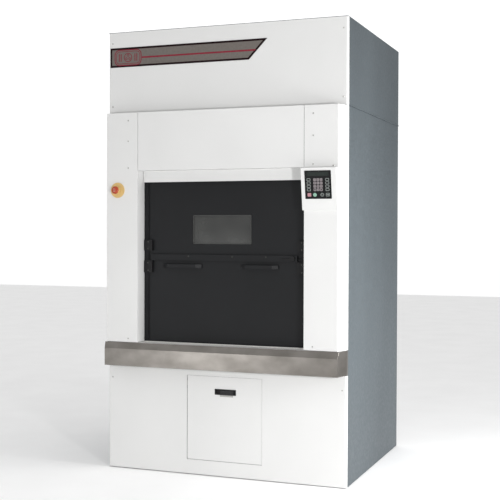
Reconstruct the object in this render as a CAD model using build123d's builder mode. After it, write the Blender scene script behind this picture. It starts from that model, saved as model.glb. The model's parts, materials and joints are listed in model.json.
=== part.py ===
"""Industrial laundry tumble dryer with bi-parting sliding doors, in millimetres.

+X is to the right of a person facing the machine, +Y goes from front to back and +Z is up.
The origin is on the floor, in the middle of the machine's overall box.
"""

import os
from math import atan2, cos, degrees, radians, sin

from build123d import *

os.makedirs("parts", exist_ok=True)

# ---------------------------------------------------------------- driving dimensions
cabinet_width = 1422
cabinet_depth = 1178
cabinet_height = 2500
seam_height = 2030  # the heater cabinet stands on the drum cabinet here
sheet = 2  # panel thickness
panel_gap = 2  # between neighbouring panels
floor_gap = 4  # from the floor to the panels' lower edges
seam_half_gap = 0.5  # between stacked panels, from the seam to either panel's edge
corner_radius = 10  # bend at the front panels' upright edges
corner_return = 22  # how far the front panels wrap round the corner

housing_reach = 80  # the door housing stands this far in front of the cabinet
housing_half_width = 681
opening_left = -486
opening_right = 496
opening_top = 1703
band_bottom = 1640  # lower edge of the band at the back of the recess
post_bottom = 737

ledge_bottom = 603
ledge_face_top = 700
ledge_top = 735
ledge_reach = 96

door_half_width = 470
door_thickness = 24
door_setback = 14  # the door faces lie this far behind the cabinet's front plane
upper_door_bottom = 1218
upper_door_top = 1665
lower_door_bottom = 725
lower_door_top = 1216

drum_height = 1187  # the drum axis above the floor
drum_radius = 620
mouth_radius = 450
shaft_radius = 40
running_clearance = 0.05

sprocket_radius = 31
chain_half_gap = 35  # from a sprocket's axis to each chain strand
chain_axis_x = 540
chain_top = 1820
chain_bottom = 640

console_reach = 57
exhaust_reach = 61
heater_floor = seam_height + 3
burner_height = heater_floor + 90
gas_x = 600
conduit_x = -600

# ---------------------------------------------------------------- derived planes
half_width = cabinet_width / 2
front = -(cabinet_depth + exhaust_reach - housing_reach - console_reach) / 2
back = front + cabinet_depth
face = front - housing_reach
door_front = front + door_setback
door_back = door_front + door_thickness
bulkhead_front = front + 64
bulkhead_back = bulkhead_front + 3
drum_front = bulkhead_front + 40
drum_back = front + 980
rear_wall = front + 1012
side_plane = Plane(origin=(0, 0, 0), x_dir=(0, 1, 0), z_dir=(1, 0, 0))


# ---------------------------------------------------------------- small helpers
def save(piece, name):
    """Label a finished piece and write its STEP file."""
    piece.part.label = name
    export_step(piece.part, f"parts/{name}.step")


def block(x, y, z, mode=Mode.ADD):
    """A box given by its low and high limit on each axis."""
    with Locations(((x[0] + x[1]) / 2, (y[0] + y[1]) / 2, (z[0] + z[1]) / 2)):
        Box(x[1] - x[0], y[1] - y[0], z[1] - z[0], mode=mode)


def disc_y(radius, x, z, y, mode=Mode.ADD):
    """A cylinder along Y, between the two Y limits."""
    with Locations(Location((x, (y[0] + y[1]) / 2, z), (90, 0, 0))):
        Cylinder(radius, y[1] - y[0], mode=mode)


def disc_x(radius, y, z, x, mode=Mode.ADD):
    """A cylinder along X, between the two X limits."""
    with Locations(Location(((x[0] + x[1]) / 2, y, z), (0, 90, 0))):
        Cylinder(radius, x[1] - x[0], mode=mode)


def disc_z(radius, x, y, z, mode=Mode.ADD):
    """A cylinder along Z, between the two Z limits."""
    with Locations((x, y, (z[0] + z[1]) / 2)):
        Cylinder(radius, z[1] - z[0], mode=mode)


def bent_sheet(points, plane, length, side=Side.LEFT, thickness=sheet):
    """Sheet metal folded along a line of points, extruded along the plane's normal."""
    with BuildSketch(plane) as section:
        with BuildLine():
            fold = Polyline(*points)
            offset(fold, amount=thickness, side=side, kind=Kind.INTERSECTION)
        make_face()
    extrude(section.sketch, amount=length)


def front_sketch_plane(y):
    """A plane facing the front at depth y, with X to the right and Z up."""
    return Plane(origin=(0, y, 0), x_dir=(1, 0, 0), z_dir=(0, -1, 0))


# ---------------------------------------------------------------- base and cabinet panels
base_height = 60
anchor_radius = 9
anchor_spacing = (1300, 1040)
base_plate = 5
base_x = (-half_width + 8, half_width - 8)
base_y = (front + 26, back - 6)

with BuildPart() as base_frame:
    block(base_x, base_y, (0, base_height))
    pocket_x = (base_x[0] + base_plate, base_x[1] - base_plate)
    pocket_y = (base_y[0] + base_plate, base_y[1] - base_plate)
    block(pocket_x, pocket_y, (base_plate, base_height), Mode.SUBTRACT)
    for rib_x in (-300, 300):
        block((rib_x - 4, rib_x + 4), pocket_y, (base_plate, base_height - 8))
    with Locations((0, (front + back) / 2, base_plate / 2)):
        with GridLocations(*anchor_spacing, 2, 2):
            Cylinder(anchor_radius, base_plate * 2, mode=Mode.SUBTRACT)
save(base_frame, "base_frame")


def side_panel(name, sign):
    """A drum cabinet side with a short inward return at its front and rear edges."""
    edge_return = 16
    outer = sign * half_width
    inner = outer - sign * edge_return
    fold = [
        (inner, front + corner_return + 0.5),
        (outer, front + corner_return + 0.5),
        (outer, back - 3),
        (inner, back - 3),
    ]
    turn = Side.LEFT if sign > 0 else Side.RIGHT
    with BuildPart() as panel:
        height = seam_height - seam_half_gap - floor_gap
        bent_sheet(fold, Plane.XY.offset(floor_gap), height, turn)
    save(panel, name)


side_panel("left_side_panel", -1)
side_panel("right_side_panel", 1)

exhaust_x = 200
exhaust_z = 300
exhaust_radius = 200
vent_slot = (480, 10)
vent_rows = 6
vent_pitch = 34
vent_low = 1560
with BuildPart() as rear_panel:
    block((-half_width + 1, half_width - 1), (back - sheet, back), (floor_gap, seam_height - floor_gap))
    disc_y(exhaust_radius + 6, exhaust_x, exhaust_z, (back - 10, back + 10), Mode.SUBTRACT)
    for row in range(vent_rows):
        slot_z = vent_low + row * vent_pitch
        slot_x = (-vent_slot[0] / 2, vent_slot[0] / 2)
        block(slot_x, (back - 10, back + 10), (slot_z, slot_z + vent_slot[1]), Mode.SUBTRACT)
save(rear_panel, "rear_panel")


def front_pan(low_z, high_z):
    """A front panel across the whole cabinet, with its upright edges bent round the corners."""
    with BuildSketch(Plane.XY.offset(low_z)) as section:
        with BuildLine():
            outer = Polyline(
                (-half_width, front + corner_return),
                (-half_width, front),
                (half_width, front),
                (half_width, front + corner_return),
            )
            fillet(outer.vertices().group_by(Axis.Y)[0], corner_radius)
            offset(amount=sheet, side=Side.LEFT, kind=Kind.INTERSECTION)
        make_face()
    extrude(section.sketch, amount=high_z - low_z)


lint_door_x = (-213, 232)
lint_door_z = (87, 557)
with BuildPart() as lower_front_panel:
    front_pan(floor_gap, ledge_bottom - 3)
    hatch_x = (lint_door_x[0] - 3, lint_door_x[1] + 1)
    hatch_z = (lint_door_z[0] - 2, lint_door_z[1] + 1)
    block(hatch_x, (front - 5, front + 5), hatch_z, Mode.SUBTRACT)
save(lower_front_panel, "lower_front_panel")

upper_panel_top = cabinet_height - sheet - seam_half_gap
with BuildPart() as upper_front_panel:
    front_pan(seam_height + seam_half_gap, upper_panel_top)
save(upper_front_panel, "upper_front_panel")

intake_slot = (260, 14)
intake_spacing = 420
intake_rows = 6
intake_pitch = 40
intake_low = seam_height + 150
with BuildPart() as upper_cabinet_shell:
    shell_front = front + corner_return + 0.5
    shell_bottom = seam_height + seam_half_gap
    shell_z = (shell_bottom, upper_panel_top)
    lip_reach = 3
    for sign in (-1, 1):
        wall = sorted((sign * (half_width - sheet), sign * half_width))
        block(wall, (shell_front, back), shell_z)
        lip = sorted((sign * (half_width - sheet), sign * (half_width + lip_reach)))
        block(lip, (shell_front, back), (shell_bottom, shell_bottom + 6))
    rear_half_width = half_width - sheet - panel_gap / 4
    block((-rear_half_width, rear_half_width), (back - sheet, back), shell_z)
    for column_x in (-intake_spacing, 0, intake_spacing):
        for row in range(intake_rows):
            slot_z = intake_low + row * intake_pitch
            slot_x = (column_x - intake_slot[0] / 2, column_x + intake_slot[0] / 2)
            block(slot_x, (back - 10, back + 10), (slot_z, slot_z + intake_slot[1]), Mode.SUBTRACT)
    disc_y(19, gas_x, burner_height, (back - 10, back + 10), Mode.SUBTRACT)
    disc_y(14, conduit_x, burner_height, (back - 10, back + 10), Mode.SUBTRACT)
save(upper_cabinet_shell, "upper_cabinet_shell")

with BuildPart() as top_panel:
    block((-half_width, half_width), (front, back), (cabinet_height - sheet, cabinet_height))
    inner_x = (-half_width + 6, half_width - 6)
    block(inner_x, (front + 6, back - 6), (cabinet_height - 20, cabinet_height - sheet))
    core_x = (inner_x[0] + sheet, inner_x[1] - sheet)
    core_y = (front + 6 + sheet, back - 6 - sheet)
    block(core_x, core_y, (cabinet_height - 20, cabinet_height - sheet), Mode.SUBTRACT)
save(top_panel, "top_panel")


# ---------------------------------------------------------------- door housing
def post_cover(name, sign, opening_edge):
    """One upright of the door housing: corner return, flared side, face and jamb, with a cap."""
    turn = Side.LEFT if sign < 0 else Side.RIGHT
    housing_top = seam_height - 1
    fold = [
        (sign * half_width, front + corner_return),
        (sign * half_width, front),
        (sign * housing_half_width, face),
        (opening_edge, face),
        (opening_edge, front + 5),
    ]
    with BuildPart() as cover:
        bent_sheet(fold, Plane.XY.offset(post_bottom), housing_top - post_bottom, turn)
        with BuildSketch(Plane.XY.offset(housing_top - sheet)) as cap:
            with BuildLine():
                Polyline(*fold, close=True)
            make_face()
        extrude(cap.sketch, amount=sheet)
    save(cover, name)


post_cover("left_post_cover", -1, opening_left)
post_cover("right_post_cover", 1, opening_right)

band_front = front - 10
header_x = (opening_left + panel_gap, opening_right - panel_gap)
with BuildPart() as header_cover:
    fold = [
        (front, seam_height - 1),
        (face, seam_height - 1),
        (face, opening_top),
        (band_front, opening_top),
        (band_front, band_bottom),
    ]
    bent_sheet(fold, side_plane.offset(header_x[0]), header_x[1] - header_x[0])
save(header_cover, "header_cover")

ledge_face = front - ledge_reach
ledge_mitre_x = 686  # the ends of the ledge's front face, where it turns back to the cabinet
shelf_back = front + 6
bevel_rise = (ledge_top - ledge_face_top) / (ledge_reach - housing_reach)
with BuildPart() as loading_ledge:
    fold = [
        (front - 2, ledge_bottom),
        (ledge_face, ledge_bottom),
        (ledge_face, ledge_face_top),
        (face, ledge_top),
        (shelf_back, ledge_top),
        (shelf_back, ledge_top - 14),
    ]
    bent_sheet(fold, side_plane.offset(-half_width), cabinet_width, Side.LEFT)
    for sign in (-1, 1):
        past_end = sign * (half_width + 90)
        trim = [
            (sign * ledge_mitre_x, ledge_face - 1),
            (sign * (half_width + 1), front),
            (sign * (half_width + 1), front + 8),
            (past_end, front + 8),
            (past_end, ledge_face - 1),
        ]
        with BuildSketch(Plane.XY.offset(ledge_bottom - 1)) as corner:
            with BuildLine():
                Polyline(*trim, close=True)
            make_face()
        extrude(corner.sketch, amount=ledge_top - ledge_bottom + 2, mode=Mode.SUBTRACT)
        end_fold = [
            (sign * (ledge_mitre_x - 1), ledge_face + 1),
            (sign * half_width, front),
            (sign * half_width, front + corner_return),
        ]
        turn = Side.LEFT if sign > 0 else Side.RIGHT
        bent_sheet(end_fold, Plane.XY.offset(ledge_bottom), ledge_top - ledge_bottom, turn)
        over_bevel = [
            (ledge_face - 5, ledge_face_top - 5 * bevel_rise),
            (ledge_face - 5, ledge_top + 10),
            (face + 10 / bevel_rise, ledge_top + 10),
        ]
        low_x = min(sign * (half_width - 120), sign * (half_width + 10))
        with BuildSketch(side_plane.offset(low_x)) as wedge:
            with BuildLine():
                Polyline(*over_bevel, close=True)
            make_face()
        extrude(wedge.sketch, amount=130, mode=Mode.SUBTRACT)
save(loading_ledge, "loading_ledge")

rail_bottom = 235
rail_top = 2160
rail_front = front + 8
rail_back = front + 42
rail_web_x = 487
rail_lip = 26
standoff_height = 40


def guide_rail(name, sign):
    """An upright channel that the door edges run in, on two standoffs from the bulkhead."""
    web = sign * rail_web_x
    lip = sign * (rail_web_x - rail_lip)
    fold = [(lip, rail_front), (web, rail_front), (web, rail_back), (lip, rail_back)]
    turn = Side.LEFT if sign > 0 else Side.RIGHT
    with BuildPart() as rail:
        bent_sheet(fold, Plane.XY.offset(rail_bottom), rail_top - rail_bottom, turn)
        standoff_x = sorted((lip + sign * 4, web - sign * 4))
        for standoff_z in (560, 1900):
            standoff = (standoff_z, standoff_z + standoff_height)
            block(standoff_x, (rail_back - 1, bulkhead_front), standoff)
    save(rail, name)


guide_rail("left_guide_rail", -1)
guide_rail("right_guide_rail", 1)

# ---------------------------------------------------------------- controls and trim
strip_low = 2300
strip_high = 2411
strip_left = -half_width + corner_radius
strip_low_right = 151
strip_high_right = 258
with BuildPart() as badge_strip:
    with BuildSketch(front_sketch_plane(front)):
        with BuildLine():
            outline = [
                (strip_left, strip_low),
                (strip_low_right, strip_low),
                (strip_high_right, strip_high),
                (strip_left, strip_high),
            ]
            Polyline(*outline, close=True)
        make_face()
    extrude(amount=1.5)
save(badge_strip, "badge_strip")

console_x = (494, 686)
console_z = (1475, 1697)
console_low_reach = 22
console_rise = console_z[1] - console_z[0]
console_tilt = degrees(atan2(console_reach - console_low_reach, console_rise))
with BuildPart() as console_housing:
    with BuildSketch(side_plane.offset(console_x[0])) as wedge:
        with BuildLine():
            outline = [
                (face, console_z[0]),
                (face - console_low_reach, console_z[0]),
                (face - console_reach, console_z[1]),
                (face, console_z[1]),
            ]
            Polyline(*outline, close=True)
        make_face()
    extrude(wedge.sketch, amount=console_x[1] - console_x[0])
    rear_face = console_housing.faces().sort_by(Axis.Y)[-1]
    offset(amount=-sheet, openings=rear_face)
    front_edges = console_housing.edges().group_by(Axis.Y)[0]
    fillet(front_edges.filter_by(Axis.X), 1.5)
save(console_housing, "console_housing")

keypad_size = (144, 149)
keypad_centre_x = 586
keypad_centre_z = 1608
console_face_y = face - console_low_reach - (keypad_centre_z - console_z[0]) * (
    console_reach - console_low_reach
) / console_rise
tilt = radians(console_tilt)
console_plane = Plane(
    origin=(keypad_centre_x, console_face_y, keypad_centre_z),
    x_dir=(1, 0, 0),
    z_dir=(0, -cos(tilt), -sin(tilt)),
)
overlay_thickness = 1
with BuildPart() as keypad_overlay:
    with BuildSketch(console_plane):
        RectangleRounded(*keypad_size, 4)
    extrude(amount=overlay_thickness)
save(keypad_overlay, "keypad_overlay")

key_size = 14.5
key_pitch = 17.5
side_column_x = 50.5
side_key_width = 20
start_row_z = -53
start_key_radius = 9.5
key_height = 0.6
with BuildPart() as keypad_keys:
    with BuildSketch(console_plane.offset(overlay_thickness)):
        for column_x in (-side_column_x, side_column_x):
            with Locations((column_x, 0)):
                with GridLocations(1, key_pitch, 1, 4):
                    RectangleRounded(side_key_width, key_size, 3)
        with GridLocations(key_pitch, key_pitch, 3, 4):
            RectangleRounded(key_size, key_size, 3)
        with Locations((-49, start_row_z), (51, start_row_z)):
            RectangleRounded(side_key_width, side_key_width - 2, 2)
        with Locations((-19, start_row_z), (21, start_row_z)):
            Circle(start_key_radius)
    extrude(amount=key_height)
save(keypad_keys, "keypad_keys")

stop_x = -611
stop_z = 1594
stop_stem_radius = 10
stop_cap_bore = 6.05
with BuildPart() as estop_plate:
    disc_y(43, stop_x, stop_z, (face - 3, face))
    disc_y(16, stop_x, stop_z, (face - 18, face - 3))
    disc_y(stop_stem_radius + running_clearance, stop_x, stop_z, (face - 20, face - 1.5), Mode.SUBTRACT)
save(estop_plate, "estop_plate")

with BuildPart() as estop_stem:
    disc_y(stop_stem_radius, stop_x, stop_z, (face - 23.7, face - 7))
    disc_y(stop_cap_bore - running_clearance, stop_x, stop_z, (face - 36, face - 23.7))
save(estop_stem, "estop_stem")

with BuildPart() as estop_head:
    with BuildSketch(side_plane.offset(stop_x)) as half_section:
        with BuildLine():
            Polyline(
                (face - 43, stop_z),
                (face - 43, stop_z + 9),
                (face - 39.5, stop_z + 18),
                (face - 34, stop_z + 21.5),
                (face - 29, stop_z + 21.5),
                (face - 24, stop_z + 17),
                (face - 24, stop_z),
                close=True,
            )
        make_face()
    revolve(half_section.sketch, axis=Axis((stop_x, face, stop_z), (0, 1, 0)))
    disc_y(stop_cap_bore, stop_x, stop_z, (face - 36.5, face - 20), Mode.SUBTRACT)
save(estop_head, "estop_head")

screw_radius = 5.5
screw_height = 2.5
with BuildPart() as panel_screws:
    for screw_z in (2437, 2076, 522):
        for screw_x in (-686, 686):
            disc_y(screw_radius, screw_x, screw_z, (front - screw_height, front))
    for screw_z in (1985, 1869, 1718, 757):
        for screw_x in (-545, 545):
            disc_y(screw_radius, screw_x, screw_z, (face - screw_height, face))
save(panel_screws, "panel_screws")

# ---------------------------------------------------------------- drum cabinet structure
wall_half_width = half_width - 20
wall_z = (520, seam_height - 6)
pin_radius = 6
sprocket_pins = [(x, z) for x in (-chain_axis_x, chain_axis_x) for z in (chain_bottom, chain_top)]
with BuildPart() as front_bulkhead:
    block((-wall_half_width, wall_half_width), (bulkhead_front, bulkhead_back), wall_z)
    disc_y(mouth_radius + 3, 0, drum_height, (bulkhead_back, drum_front + 10))
    disc_y(mouth_radius, 0, drum_height, (front, drum_front + 20), Mode.SUBTRACT)
    for pin_x, pin_z in sprocket_pins:
        disc_y(pin_radius, pin_x, pin_z, (front + 47, bulkhead_front))
        disc_y(pin_radius + 4, pin_x, pin_z, (front + 60, bulkhead_front))
save(front_bulkhead, "front_bulkhead")

seal_front = bulkhead_back
seal_radii = (478, 520)
with BuildPart() as drum_mouth_seal:
    disc_y(seal_radii[1], 0, drum_height, (seal_front, drum_front - 0.5))
    disc_y(seal_radii[0], 0, drum_height, (seal_front - 1, drum_front), Mode.SUBTRACT)
save(drum_mouth_seal, "drum_mouth_seal")

housing_radius = 655
duct_x = (-330, 330)
with BuildPart() as drum_housing:
    disc_y(housing_radius + sheet, 0, drum_height, (bulkhead_back, rear_wall))
    disc_y(housing_radius, 0, drum_height, (bulkhead_back - 1, rear_wall + 1), Mode.SUBTRACT)
    duct_y = (front + 160, front + 900)
    block(duct_x, duct_y, (drum_height, drum_height + 700), Mode.SUBTRACT)
    block(duct_x, duct_y, (drum_height - 700, drum_height), Mode.SUBTRACT)
save(drum_housing, "drum_housing")

with BuildPart() as rear_bulkhead:
    block((-wall_half_width, wall_half_width), (rear_wall, rear_wall + 4), wall_z)
    disc_y(60, 0, drum_height, (rear_wall - 1, rear_wall + 5), Mode.SUBTRACT)
save(rear_bulkhead, "rear_bulkhead")

bearing_back = rear_wall + 98
bearing_flange_radius = 150
bearing_barrel_radius = 72
with BuildPart() as drum_bearing_housing:
    disc_y(bearing_flange_radius, 0, drum_height, (rear_wall + 4, rear_wall + 20))
    disc_y(bearing_barrel_radius, 0, drum_height, (rear_wall + 20, bearing_back))
    with Locations(Location((0, rear_wall + 50, drum_height), (90, 0, 0))):
        with PolarLocations(100, 6):
            Box(70, 12, 60)
    bore = shaft_radius + running_clearance
    disc_y(bore, 0, drum_height, (rear_wall, bearing_back + 10), Mode.SUBTRACT)
save(drum_bearing_housing, "drum_bearing_housing")

# ---------------------------------------------------------------- drum
with BuildPart() as drum_shell:
    disc_y(drum_radius, 0, drum_height, (drum_front, drum_back))
    disc_y(drum_radius - 3, 0, drum_height, (drum_front + 4, drum_back + 1), Mode.SUBTRACT)
    disc_y(mouth_radius + 20, 0, drum_height, (drum_front - 1, drum_front + 10), Mode.SUBTRACT)
save(drum_shell, "drum_shell")

lifter_count = 4
lifter_y = (drum_front + 12, drum_back - 8)
lifter_root = 612
lifter_tip = 490
lifter_root_half = 62
lifter_tip_half = 22
with BuildPart() as drum_lifters:
    for index in range(lifter_count):
        turn = 45 + index * 360 / lifter_count
        radial = Plane(
            origin=(0, lifter_y[0], drum_height),
            x_dir=(cos(radians(turn)), 0, sin(radians(turn))),
            z_dir=(0, 1, 0),
        )
        fold = [
            (lifter_root, -lifter_root_half),
            (lifter_tip, -lifter_tip_half),
            (lifter_tip, lifter_tip_half),
            (lifter_root, lifter_root_half),
        ]
        bent_sheet(fold, radial, lifter_y[1] - lifter_y[0], Side.RIGHT, 3)
save(drum_lifters, "drum_lifters")

spider_y = (drum_back + 6, drum_back + 26)
with BuildPart() as drum_back_plate:
    disc_y(drum_radius, 0, drum_height, (drum_back, drum_back + 6))
    disc_y(96, 0, drum_height, (drum_back + 6, spider_y[1]))
    with Locations(Location((0, (spider_y[0] + spider_y[1]) / 2, drum_height), (90, 0, 0))):
        with PolarLocations(340, 6):
            Box(520, 50, spider_y[1] - spider_y[0])
    disc_y(shaft_radius, 0, drum_height, (drum_back - 10, spider_y[1] + 10), Mode.SUBTRACT)
save(drum_back_plate, "drum_back_plate")

shaft_end = back - 16
with BuildPart() as drum_shaft:
    disc_y(shaft_radius, 0, drum_height, (drum_back - 4, shaft_end))
    disc_y(shaft_radius + 14, 0, drum_height, (drum_back - 10, drum_back - 0.01))
    chamfer(drum_shaft.edges().sort_by(Axis.Y)[-1], 3)
save(drum_shaft, "drum_shaft")

sheave_y = (front + 1118, front + 1158)
groove_y = (front + 1128, front + 1148)
sheave_radius = 320
groove_radius = 308


def grooved_wheel(radius, floor_radius, x, z):
    """A flat-belt wheel's rim: a disc with a groove turned in its edge."""
    disc_y(radius, x, z, sheave_y)
    with BuildSketch(front_sketch_plane(groove_y[0])) as ring:
        with Locations((x, z)):
            Circle(radius + 1)
            Circle(floor_radius, mode=Mode.SUBTRACT)
    extrude(ring.sketch, amount=groove_y[0] - groove_y[1], mode=Mode.SUBTRACT)


recess_depth = 14
recess_radii = (75, 290)
with BuildPart() as drum_sheave:
    grooved_wheel(sheave_radius, groove_radius, 0, drum_height)
    for recess_y in (sheave_y[0], sheave_y[1] - recess_depth):
        with BuildSketch(front_sketch_plane(recess_y)) as recess:
            with Locations((0, drum_height)):
                Circle(recess_radii[1])
                Circle(recess_radii[0], mode=Mode.SUBTRACT)
        extrude(recess.sketch, amount=-recess_depth, mode=Mode.SUBTRACT)
    with Locations(Location((0, sum(sheave_y) / 2, drum_height), (90, 0, 0))):
        with PolarLocations(185, 5):
            Cylinder(62, 60, mode=Mode.SUBTRACT)
    disc_y(shaft_radius, 0, drum_height, (sheave_y[0] - 5, sheave_y[1] + 5), Mode.SUBTRACT)
save(drum_sheave, "drum_sheave")

# ---------------------------------------------------------------- drum drive
motor_x = -420
motor_z = 700
output_radius = 14
pulley_radius = 45
pulley_groove_radius = 33
gearbox_y = (rear_wall + 4, front + 1110)
gearbox_half = 80
motor_radius = 60
motor_y = front + 1080
with BuildPart() as drive_gearmotor:
    gearbox_x = (motor_x - gearbox_half, motor_x + gearbox_half)
    block(gearbox_x, gearbox_y, (motor_z - gearbox_half, motor_z + gearbox_half))
    fillet(drive_gearmotor.edges().filter_by(Axis.Y), 14)
    disc_z(motor_radius, motor_x, motor_y, (motor_z - 330, motor_z - gearbox_half))
    disc_z(motor_radius + 6, motor_x, motor_y, (motor_z - 345, motor_z - 300))
    terminal_x = (motor_x + motor_radius - 10, motor_x + motor_radius + 30)
    block(terminal_x, (motor_y - 30, motor_y + 30), (motor_z - 240, motor_z - 150))
    bore = output_radius + running_clearance
    disc_y(bore, motor_x, motor_z, (gearbox_y[1] - 60, gearbox_y[1] + 10), Mode.SUBTRACT)
save(drive_gearmotor, "drive_gearmotor")

with BuildPart() as motor_pulley:
    grooved_wheel(pulley_radius, pulley_groove_radius, motor_x, motor_z)
    disc_y(output_radius, motor_x, motor_z, (gearbox_y[1] - 55, sheave_y[0]))
save(motor_pulley, "motor_pulley")

belt_thickness = 9
belt_slack = 0.4
with BuildPart() as drum_belt:
    with BuildSketch(front_sketch_plane(groove_y[0] + 2)) as loop:
        with Locations((0, drum_height)):
            Circle(groove_radius + belt_slack + belt_thickness)
        with Locations((motor_x, motor_z)):
            Circle(pulley_groove_radius + belt_slack + belt_thickness)
        make_hull()
    with BuildSketch(front_sketch_plane(groove_y[0] + 2)) as inside:
        with Locations((0, drum_height)):
            Circle(groove_radius + belt_slack)
        with Locations((motor_x, motor_z)):
            Circle(pulley_groove_radius + belt_slack)
        make_hull()
    extrude(loop.sketch - inside.sketch, amount=-16)
save(drum_belt, "drum_belt")

# ---------------------------------------------------------------- exhaust fan and lint screen
fan_tube_y = (front + 780, back - 28)
fan_tube_radius = 204
fan_shaft_radius = 12
fan_motor_y = (front + 905, front + 1075)
with BuildPart() as fan_housing:
    disc_y(fan_tube_radius + sheet, exhaust_x, exhaust_z, fan_tube_y)
    flange_x = (exhaust_x - 225, exhaust_x + 225)
    flange_z = (exhaust_z - 225, exhaust_z + 200)
    block(flange_x, (fan_tube_y[0], fan_tube_y[0] + 3), flange_z)
    tube_cut = (fan_tube_y[0] - 1, fan_tube_y[1] + 1)
    disc_y(fan_tube_radius, exhaust_x, exhaust_z, tube_cut, Mode.SUBTRACT)
    for foot_y in (fan_tube_y[0], fan_tube_y[1] - 20):
        foot_top = exhaust_z - fan_tube_radius - 1
        block((exhaust_x - 60, exhaust_x + 60), (foot_y, foot_y + 20), (base_plate, foot_top))
save(fan_housing, "fan_housing")

fan_motor_radius = 75
arm_length = fan_tube_radius - fan_motor_radius + 3
with BuildPart() as fan_motor:
    disc_y(fan_motor_radius, exhaust_x, exhaust_z, fan_motor_y)
    fillet(fan_motor.edges().filter_by(GeomType.CIRCLE), 10)
    with Locations(Location((exhaust_x, sum(fan_motor_y) / 2, exhaust_z), (90, 0, 0))):
        with PolarLocations(fan_tube_radius - arm_length / 2 - 0.5, 4, start_angle=45):
            Box(arm_length, 5, 60)
    bore = fan_shaft_radius + running_clearance
    disc_y(bore, exhaust_x, exhaust_z, (fan_motor_y[0] - 5, fan_motor_y[0] + 62), Mode.SUBTRACT)
save(fan_motor, "fan_motor")

fan_blade_count = 6
blade_pitch = radians(40)
fan_hub_y = (front + 820, front + 895)
with BuildPart() as fan_wheel:
    disc_y(50, exhaust_x, exhaust_z, fan_hub_y)
    disc_y(fan_shaft_radius, exhaust_x, exhaust_z, (fan_hub_y[1], fan_motor_y[0] + 58))
    for index in range(fan_blade_count):
        turn = radians(index * 360 / fan_blade_count)
        outward = Vector(cos(turn), 0, sin(turn))
        around = Vector(-sin(turn), 0, cos(turn))
        chord = Vector(0, cos(blade_pitch), 0) + around * sin(blade_pitch)
        centre = Vector(exhaust_x, sum(fan_hub_y) / 2, exhaust_z)
        with BuildSketch(Plane(origin=centre + outward * 45, x_dir=chord, z_dir=outward)) as root:
            Rectangle(66, 4)
        extrude(root.sketch, amount=145)
save(fan_wheel, "fan_wheel")

collar_flange_y = (back + 0.3, back + 3.3)
with BuildPart() as exhaust_collar:
    disc_y(exhaust_radius - 1, exhaust_x, exhaust_z, (back - 40, collar_flange_y[0]))
    disc_y(exhaust_radius, exhaust_x, exhaust_z, (collar_flange_y[0], back + exhaust_reach))
    disc_y(exhaust_radius + 35, exhaust_x, exhaust_z, collar_flange_y)
    disc_y(exhaust_radius - 3, exhaust_x, exhaust_z, (back - 50, back + 90), Mode.SUBTRACT)
save(exhaust_collar, "exhaust_collar")

screen_y = (front + 150, front + 760)
with BuildPart() as lint_screen:
    block(duct_x, screen_y, (476, 500))
    cell_x = (duct_x[0] + 15, duct_x[1] - 15)
    cell_y = (screen_y[0] + 15, screen_y[1] - 15)
    block(cell_x, cell_y, (478, 501), Mode.SUBTRACT)
    for bar_x in (-105, 105):
        block((bar_x - 6, bar_x + 6), cell_y, (477, 492))
save(lint_screen, "lint_screen")

# ---------------------------------------------------------------- heater
heater_y = (front + 150, front + 940)
heater_half_width = 560
with BuildPart() as heater_box:
    block((-wall_half_width, wall_half_width), (bulkhead_front, back - 6), (heater_floor, heater_floor + 3))
    block((-heater_half_width, heater_half_width), heater_y, (heater_floor, heater_floor + 390))
    inner_x = (-heater_half_width + 3, heater_half_width - 3)
    inner_y = (heater_y[0] + 3, heater_y[1] - 3)
    block(inner_x, inner_y, (heater_floor + 3, heater_floor + 387), Mode.SUBTRACT)
    block(duct_x, duct_y, (heater_floor - 1, heater_floor + 10), Mode.SUBTRACT)
    intake_z = (heater_floor + 150, heater_floor + 350)
    block((-500, 500), (heater_y[1] - 20, heater_y[1] + 20), intake_z, Mode.SUBTRACT)
save(heater_box, "heater_box")

tube_spacing = 150
tube_places = [(index - 2.5) * tube_spacing for index in range(6)]
with BuildPart() as burner_tubes:
    for tube_x in tube_places:
        disc_y(22, tube_x, burner_height, (heater_y[0] + 30, heater_y[1] - 4))
        disc_y(17, tube_x, burner_height, (heater_y[0] + 20, heater_y[1]), Mode.SUBTRACT)
save(burner_tubes, "burner_tubes")

gas_pipe_radius = 16.7
manifold_y = front + 1045
with BuildPart() as gas_train:
    disc_x(14, manifold_y, burner_height, (-400, gas_x))
    for tube_x in tube_places:
        disc_y(6, tube_x, burner_height, (heater_y[1] + 6, manifold_y))
    valve_y = (manifold_y - 45, manifold_y + 45)
    block((gas_x - 45, gas_x + 45), valve_y, (burner_height - 40, burner_height + 40))
    coil_y = (manifold_y - 28, manifold_y + 28)
    block((gas_x - 30, gas_x + 30), coil_y, (burner_height + 40, burner_height + 110))
    disc_y(gas_pipe_radius, gas_x, burner_height, (valve_y[1], back + 45))
    disc_y(gas_pipe_radius + 8, gas_x, burner_height, (back + 1, back + 8))
    disc_y(12, gas_x, burner_height, (valve_y[1] + 5, back + 50), Mode.SUBTRACT)
save(gas_train, "gas_train")

# ---------------------------------------------------------------- door synchronising chains
chain_y = (front + 52, front + 58)
sprocket_y = (front + 53, front + 57)
with BuildPart() as door_chains:
    for sign in (-1, 1):
        with BuildSketch(front_sketch_plane(chain_y[0])) as loop:
            middle_z = (chain_top + chain_bottom) / 2
            with Locations((sign * chain_axis_x, middle_z)):
                SlotCenterToCenter(chain_top - chain_bottom, 2 * (chain_half_gap + 4), rotation=90)
                SlotCenterToCenter(
                    chain_top - chain_bottom, 2 * (chain_half_gap - 3.6), rotation=90, mode=Mode.SUBTRACT
                )
        extrude(loop.sketch, amount=chain_y[0] - chain_y[1])
save(door_chains, "door_chains")


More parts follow.
